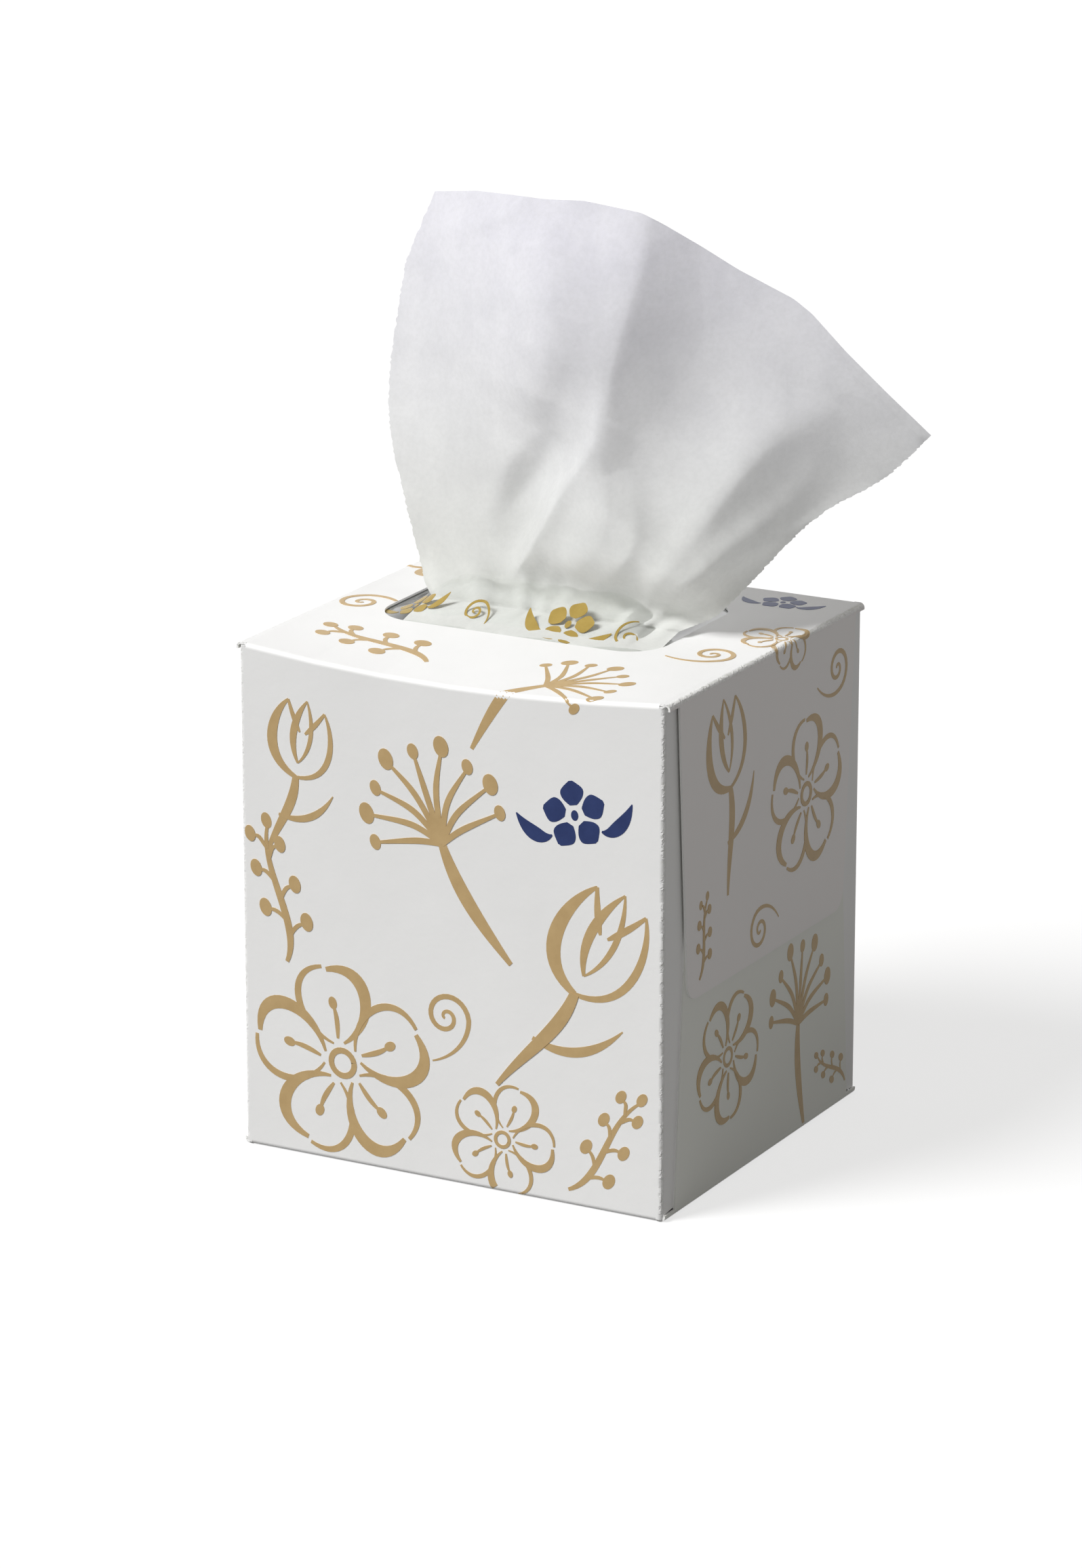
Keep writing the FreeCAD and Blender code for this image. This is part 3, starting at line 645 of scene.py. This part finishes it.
def flap_painted_light(n, tone, aside):
    """The end flaps' tones: painted shade that makes the lower flap darker and yellower, a painted
    highlight along the upper flap's cut edge, and a warmer tone on the upper flap.
    """
    # Painted shade: the lower flap is made darker and yellower.
    lower_flap_shade = n.past(aside, HALF_WIDE - 0.8, HALF_WIDE - 0.6)
    # Painted highlight: a pale line along the upper flap's cut edge.
    rim_highlight = n.past(aside, HALF_WIDE - BOARD + 0.02, HALF_WIDE - BOARD + 0.06)
    upper_flap = n.past(aside, HALF_WIDE - 0.04, HALF_WIDE - 0.02)
    tone = n.mix(lower_flap_shade, tone, (0.838, 0.848, 0.80, 1))
    tone = n.mix(rim_highlight, tone, (0.98, 0.98, 0.97, 1))
    return n.mix(upper_flap, tone, (0.90, 0.875, 0.865, 1))


def board_material():
    """White coated card with scuffed and chipped creases, and painted shade and a painted highlight on its
    end flaps.
    """
    n = material_nodes("coated_board")
    cloud = n.noise(30, 3.0, 0.6)
    axes = n.axes()
    aside = n.calc("ABSOLUTE", axes["X"])
    tone = n.mix(n.ramp(cloud, 0.3, 0.7), (0.87, 0.87, 0.865, 1), (0.90, 0.90, 0.895, 1))
    tone = flap_painted_light(n, tone, aside)
    crease = crease_share(n, axes, aside)
    chipped = n.calc("MULTIPLY", crease, n.ramp(n.noise(420, 3.0, 0.7), 0.47, 0.56))
    scuffs = n.ramp(n.noise(650, 2.0, 0.6), 0.52, 0.6, 0.0, 0.55)
    tone = n.mix(n.calc("MULTIPLY", crease, scuffs), tone, (0.58, 0.58, 0.53, 1))
    tone = n.mix(chipped, tone, (0.96, 0.96, 0.95, 1))
    waves = n.bump(n.noise(110, 3.0, 0.55), 0.12, 0.0006)
    grain = n.bump(n.noise(700, 3.0, 0.6), 0.12, 0.0002, waves)
    normal = n.bump(chipped, 0.7, 0.0003, grain)
    coated = {"Base Color": tone, "Roughness": 0.5, "Normal": normal}
    return n.finish(n.make("BsdfPrincipled", coated).outputs[0])


def clip_material():
    """White paper in many thin layers."""
    n = material_nodes("tissue_clip")
    layers = n.noise(60, 4.0, 0.6, (1, 1, 14))
    tone = n.mix(n.ramp(layers, 0.3, 0.7), (0.74, 0.75, 0.74, 1), (0.88, 0.88, 0.87, 1))
    paper = {"Base Color": tone, "Roughness": 0.9, "Normal": n.bump(layers, 0.5, 0.0008)}
    return n.finish(n.make("BsdfPrincipled", paper).outputs[0])


def ink_material(name, light, dark, roughness):
    n = material_nodes(name)
    tone = n.mix(n.ramp(n.noise(260, 4.0, 0.6), 0.3, 0.7), dark, light)
    normal = n.bump(n.noise(900, 2.0, 0.6), 0.08, 0.0001)
    ink = {"Base Color": tone, "Roughness": roughness, "Specular IOR Level": 0.18, "Normal": normal}
    return n.finish(n.make("BsdfPrincipled", ink).outputs[0])


# Motifs are lists of ribbons. A ribbon is a painted line: its middle points and its width at each.
def ribbon(points, widths):
    points = np.asarray(points, float)
    widths = np.asarray(widths, float) * np.ones(len(points))
    return points, widths


def curve(p0, p1, p2, p3, count=22):
    t = np.linspace(0, 1, count)[:, None]
    p0, p1, p2, p3 = (np.asarray(p, float) for p in (p0, p1, p2, p3))
    return (1 - t) ** 3 * p0 + 3 * (1 - t) ** 2 * t * p1 + 3 * (1 - t) * t ** 2 * p2 + t ** 3 * p3


def tapered(points, thick, start=0.25, end=0.25, swell=0.5):
    """A ribbon that swells to its full width part way along."""
    t = np.linspace(0, 1, len(points))
    rise = np.where(t < swell, t / swell, (1 - t) / (1 - swell))
    low = np.where(t < swell, start, end)
    return ribbon(points, thick * (low + (1 - low) * np.sin(rise * math.pi / 2)))


def dot(x, y, radius, count=13):
    t = np.linspace(0, math.pi, count)
    middle = np.stack([x - radius * np.cos(t), y + 0 * t], -1)
    return ribbon(middle, 2 * radius * np.sin(t) + 0.02)


def turned(ribbons, angle, scale=1.0, place=(0, 0)):
    c, s = math.cos(math.radians(angle)) * scale, math.sin(math.radians(angle)) * scale
    turn = np.array([[c, s], [-s, c]])
    return [(points @ turn + np.asarray(place, float), widths * scale) for points, widths in ribbons]


def blossom():
    """An open flower about 40 mm across, with thin stamens."""
    petal = [
        tapered(curve((1.2, 4.0), (10.5, 8.0), (10.5, 20.5), (0.3, 19.0)), 2.0, 0.2, 0.35, 0.6),
        tapered(curve((-1.2, 4.0), (-9.5, 8.0), (-9.5, 19.5), (-0.6, 19.6)), 1.1, 0.3, 0.5, 0.5),
        tapered(curve((0, 5.0), (0.4, 7.0), (0.9, 9.5), (0.4, 11.6), 10), 0.8, 0.5, 0.5),
        dot(0.4, 12.2, 0.95),
    ]
    parts = []
    for k in range(5):
        parts += turned(petal, 72 * k)
    ring = np.linspace(0, 2 * math.pi, 26)
    parts.append(ribbon(np.stack([2.6 * np.cos(ring), 2.6 * np.sin(ring)], -1), 0.9))
    return parts


def umbel():
    """A seed head about 50 mm tall: a bowed stalk and nine rays that end in dots."""
    parts = [tapered(curve((7, -26), (3, -16), (0, -8), (0, 2), 26), 2.3, 0.35, 0.6, 0.6)]
    for k in range(9):
        lean = math.radians(-78 + 156 * k / 8)
        far = 17.0 + 2.0 * math.cos(lean * 2) + (1.2 if k % 2 else 0.0)
        out, high = far * math.sin(lean), far * math.cos(lean)
        bend = (0.35 * out, 2 + 0.62 * high)
        parts.append(tapered(curve((0, 2), bend, bend, (out, 2 + high), 16), 1.0, 0.9, 0.5))
        parts.append(dot(out * 1.06, 2 + high * 1.06, 1.7 if k % 2 else 1.25))
    return parts


def tulip():
    """A closed bud on a stalk, about 45 mm tall."""
    return [
        tapered(curve((-5, -24), (-3, -14), (1, -8), (0, 0), 24), 2.0, 0.3, 0.7, 0.7),
        tapered(curve((0, 0), (-11, 2), (-10, 14), (-5.5, 20)), 2.2, 0.4, 0.2, 0.45),
        tapered(curve((0, 0), (11, 2), (10, 14), (5.5, 20)), 1.2, 0.5, 0.3, 0.5),
        tapered(curve((-5.5, 20), (-3.5, 16), (-2, 14), (-0.8, 12.5), 12), 1.0, 0.5, 0.4),
        tapered(curve((5.5, 20), (3.5, 16), (2, 14), (0.8, 12.5), 12), 1.0, 0.5, 0.4),
        tapered(curve((0, 4), (-3.8, 9), (-3, 16), (0, 21.5), 18), 1.5, 0.3, 0.2, 0.5),
        tapered(curve((0, 4), (3.8, 9), (3, 16), (0, 21.5), 18), 0.9, 0.3, 0.3, 0.5),
        tapered(curve((-3.2, -12), (4, -12), (9, -8), (11.5, -1), 20), 1.4, 0.4, 0.15, 0.5),
    ]


def posy():
    """A small solid flower between two sickles, about 40 mm long."""
    petal = tapered(curve((0, 3.4), (0, 5.5), (0, 8), (0, 11.5), 14), 6.2, 0.3, 0.15, 0.62)
    parts = [dot(0, 0, 1.3)]
    for k in range(5):
        parts += turned([petal], 72 * k)
    for side in (-1, 1):
        sickle = curve((9 * side, -6), (13 * side, -8), (18 * side, -4), (21 * side, 2))
        parts.append(tapered(sickle, 3.6, 0.12, 0.08))
    return parts


def berries():
    """A bowed twig with berries on both sides, about 34 mm long."""
    spine = curve((-2, -17), (5, -8), (-4, 6), (1, 17), 26)
    parts = [tapered(spine, 1.5, 0.5, 0.4, 0.3)]
    for k, (spot, side) in enumerate(((5, 1), (8, -1), (12, 1), (15, -1), (19, 1), (21, -1))):
        root = spine[spot]
        tip = root + np.array([side * (5.2 - 0.12 * spot), 3.4])
        stalk = curve(root, root + (side * 1.2, 2.2), tip - (side * 1.5, 0), tip, 9)
        parts.append(tapered(stalk, 0.8, 0.7, 0.7))
        parts.append(dot(tip[0] + side * 1.3, tip[1] + 0.5, 1.75 - 0.05 * k))
    parts.append(dot(1.2, 18.6, 1.5))
    return parts


def tendril():
    """A curl about 26 mm long."""
    t = np.linspace(0, 1, 44)
    angle = t * 3.3 * math.pi
    radius = 9.5 * (1 - t) ** 1.3 + 0.7
    curl = np.stack([radius * np.cos(angle), radius * np.sin(angle)], -1)
    tail = curve((10.2, 0), (10.4, -8), (4, -16), (-6, -19), 20)
    return [tapered(np.concatenate([tail[::-1][:-1], curl]), 1.6, 0.3, 0.5, 0.35)]


MOTIFS = {
    "blossom": blossom,
    "posy": posy,
    "umbel": umbel,
    "tulip": tulip,
    "berries": berries,
    "tendril": tendril,
}

# Each entry is a motif, its place on the carton's net in millimetres, its turn in degrees and its
# scale. The net's origin is the middle of the top panel. The front panel lies below the net's front
# crease, and the upper flap of each end beyond its side crease.
FRONT_PRINT = [
    ("blossom", (-29, -148), 12, 1.2),
    ("umbel", (-1, -91), 20, 1.12),
    ("tulip", (33, -121), -28, 1.3),
    ("blossom", (14, -159), -20, 0.7),
    ("berries", (-46, -110), 14, 0.95),
    ("tendril", (-1, -131), 0, 0.6),
    ("berries", (41, -158), -34, 0.85),
    ("tulip", (-41, -80), -10, 0.9),
]
TOP_PRINT = [
    ("umbel", (20, -45), -50, 0.9),
    ("berries", (-28, -33), 74, 1.0),
    ("blossom", (-44, 36), 30, 0.75),
    ("berries", (-2, 44), 96, 0.8),
    ("tendril", (-49, -6), 100, 0.6),
    ("tendril", (46, -8), -40, 0.55),
    ("blossom", (54, 12), 8, 0.5),
]
RIGHT_PRINT = [
    ("tulip", (84, -20), 100, 1.05),
    ("blossom", (96, 20), 20, 0.95),
    ("berries", (117, -33), 84, 0.55),
    ("tendril", (69, 36), 30, 0.55),
    ("umbel", (155, 18), 84, 0.95),
    ("blossom", (150, -19), -14, 0.8),
    ("tendril", (123, -4), 200, 0.5),
    ("berries", (170, 37), 150, 0.55),
]
LEFT_PRINT = [
    ("umbel", (-86, 10), -98, 1.05),
    ("blossom", (-112, -25), 40, 0.8),
    ("berries", (-82, -31), -70, 0.85),
    ("tulip", (-156, -22), -80, 0.95),
    ("blossom", (-150, 22), 10, 0.9),
    ("tendril", (-118, 30), 60, 0.55),
]
BACK_PRINT = [
    ("blossom", (28, 82), 30, 1.0),
    ("umbel", (-24, 88), 160, 1.05),
    ("tulip", (-34, 146), 200, 1.1),
    ("berries", (2, 122), 150, 0.9),
    ("blossom", (26, 150), 0, 0.95),
    ("tendril", (-4, 160), 80, 0.6),
    ("berries", (45, 116), 190, 0.8),
    ("tendril", (-47, 116), 20, 0.55),
]
NAVY_PRINT = [
    ("posy", (33, -78), 8, 0.72),
    ("posy", (40, 41), 6, 0.5),
]
# The film's print is laid out in x and y.
FILM_PRINT = [
    ("posy", (-34, -6), 10, 0.4),
    ("tendril", (-17, -8), 60, 0.3),
    ("posy", (8, -8), -8, 0.56),
    ("tendril", (24, -8), 200, 0.3),
    ("blossom", (-24, 22), 50, 0.42),
    ("berries", (4, 24), 110, 0.42),
    ("tendril", (24, 22), 20, 0.32),
]
INK_BOLD = 1.35
# Ink stands out by this much, plus a hair more from ribbon to ribbon, so that no two share a plane.
INK_PROUD = 0.045
INK_STEP = 0.0025
INK_STEPS = 41
INK_SUNK = 0.02


def around_fold(past, radius):
    """Where a line lies that runs level past the start of a fold: how far out, how far down, its lean."""
    bend = radius * math.pi / 2
    if past <= 0:
        return past, 0.0, 0.0
    if past < bend:
        angle = past / radius
        return radius * math.sin(angle), radius * (1 - math.cos(angle)), angle
    return radius, radius + past - bend, math.pi / 2


def crease_dip(x):
    return FRONT_DIP * max(0.0, 1 - (x / TUBE_HALF) ** 2)


def end_place(s, t):
    side = math.copysign(1, s)
    out, down, lean = around_fold(abs(s) - (HALF_WIDE - FOLD), FOLD)
    x = side * (HALF_WIDE - FOLD + out)
    return Vector((x, t, HIGH - down)), Vector((side * math.sin(lean), 0, math.cos(lean)))


def net_place(s, t):
    """A place on the carton and the way it faces, from the net."""
    if abs(s) > HALF_WIDE - FOLD:
        return end_place(s, t)
    side = math.copysign(1, t)
    out, down, lean = around_fold(abs(t) - (HALF_DEEP - FOLD), FOLD)
    y = side * (HALF_DEEP - FOLD + out)
    dip = crease_dip(s) if lean > 0 and side < 0 else 0.0
    return Vector((s, y, HIGH - down - dip)), Vector((0, side * math.sin(lean), math.cos(lean)))


def film_place(s, t):
    return Vector((s, t, film_height(s, t))), Vector((0, 0, 1))


def surface_tree(node):
    mesh = node.data
    mesh.calc_loop_triangles()
    corners = [vertex.co for vertex in mesh.vertices]
    return BVHTree.FromPolygons(corners, [tuple(face.vertices) for face in mesh.loop_triangles])


def ink_spots(points, widths, place_of, tree, across):
    """Rows of spots across a ribbon, each a hit on the tree's surface and the way it faces, or None."""
    ahead = np.gradient(points, axis=0)
    ahead /= np.linalg.norm(ahead, axis=1)[:, None]
    sideways = np.stack([-ahead[:, 1], ahead[:, 0]], -1)
    rows = []
    for middle, way, width in zip(points, sideways, widths):
        row = []
        for share in np.linspace(-0.5, 0.5, across):
            spot, facing = place_of(*(middle + way * width * share))
            hit = tree.ray_cast((spot + facing * 5) * MM, -facing, 12 * MM)[0]
            row.append(None if hit is None else (hit, facing))
        rows.append(row)
    return rows


def slab_corners(rows, proud):
    """Two corners at each spot, above and below the surface. A missed spot gets two loose ones."""
    corners = []
    for row in rows:
        for spot in row:
            hit, facing = spot or (Vector((0, 0, 0)), Vector((0, 0, 1)))
            corners.append(hit + facing * proud * MM)
            corners.append(hit - facing * INK_SUNK * MM)
    return corners


def slab_end(first, across):
    """The faces that close a slab at the row that starts with this corner."""
    return [(k + 2, k, k + 1, k + 3) for k in range(first, first + 2 * across - 2, 2)]


def slab_faces(rows, across, base):
    """The faces of a closed slab along each run of rows without a missed spot."""
    whole = [all(row) for row in rows]
    last = 2 * across - 2
    faces = []
    for i in range(len(rows) - 1):
        if not (whole[i] and whole[i + 1]):
            continue
        here = base + i * across * 2
        there = here + across * 2
        for k in range(0, last, 2):
            top = (here + k, here + k + 2, there + k + 2, there + k)
            faces.append(top)
            faces.append(tuple(corner + 1 for corner in reversed(top)))
        faces.append((here, there, there + 1, here + 1))
        faces.append((there + last, here + last, here + last + 1, there + last + 1))
        if i == 0 or not whole[i - 1]:
            faces += slab_end(here, across)
        if i == len(rows) - 2 or not whole[i + 2]:
            faces += slab_end(there, across)
    return faces


def drop_loose_corners(mesh):
    shell = bmesh.new()
    shell.from_mesh(mesh)
    loose = [corner for corner in shell.verts if not corner.link_faces]
    bmesh.ops.delete(shell, geom=loose, context="VERTS")
    bmesh.ops.recalc_face_normals(shell, faces=shell.faces)
    shell.to_mesh(mesh)
    shell.free()


def paint(name, ribbons, place_of, tree, material, across=3):
    """Thin closed slabs of ink along ribbons, on the surface that the tree holds."""
    corners, faces = [], []
    for turn, (points, widths) in enumerate(ribbons):
        rows = ink_spots(points, widths, place_of, tree, across)
        faces += slab_faces(rows, across, len(corners))
        corners += slab_corners(rows, INK_PROUD + INK_STEP * (turn % INK_STEPS))
    mesh = bpy.data.meshes.new(name)
    mesh.from_pydata([tuple(corner) for corner in corners], [], faces)
    drop_loose_corners(mesh)
    mesh.materials.append(material)
    piece = link(name, mesh)
    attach(piece, "root")


def motif_ribbons(layout):
    ribbons = []
    for word, place, angle, scale in layout:
        ribbons += turned(MOTIFS[word](), angle, scale, place)
    return [(points, widths * INK_BOLD) for points, widths in ribbons]


def print_carton():
    tree = surface_tree(nodes["carton"])
    gold = ink_material("gold_ink", (0.57, 0.405, 0.20, 1), (0.51, 0.355, 0.17, 1), 0.35)
    navy = ink_material("navy_ink", (0.030, 0.050, 0.16, 1), (0.022, 0.038, 0.13, 1), 0.3)
    for word, layout, ink in (
        ("front", FRONT_PRINT, gold),
        ("top", TOP_PRINT, gold),
        ("right", RIGHT_PRINT, gold),
        ("left", LEFT_PRINT, gold),
        ("back", BACK_PRINT, gold),
        ("navy", NAVY_PRINT, navy),
    ):
        paint(f"print_{word}", motif_ribbons(layout), net_place, tree, ink)


def print_film(film):
    olive = ink_material("olive_ink", (0.42, 0.30, 0.08, 1), (0.36, 0.25, 0.06, 1), 0.25)
    tree = surface_tree(film)
    paint("print_film", motif_ribbons(FILM_PRINT), film_place, tree, olive, 5)


def dress(node, material):
    node.data.materials.clear()
    node.data.materials.append(material)


make_floor()
make_world()
make_sun()
make_camera()
make_tissue()
dress(nodes["carton"], board_material())
dress(nodes["tissue_stack"], clip_material())
film_sheet = make_film_sheet()
print_carton()
print_film(film_sheet)
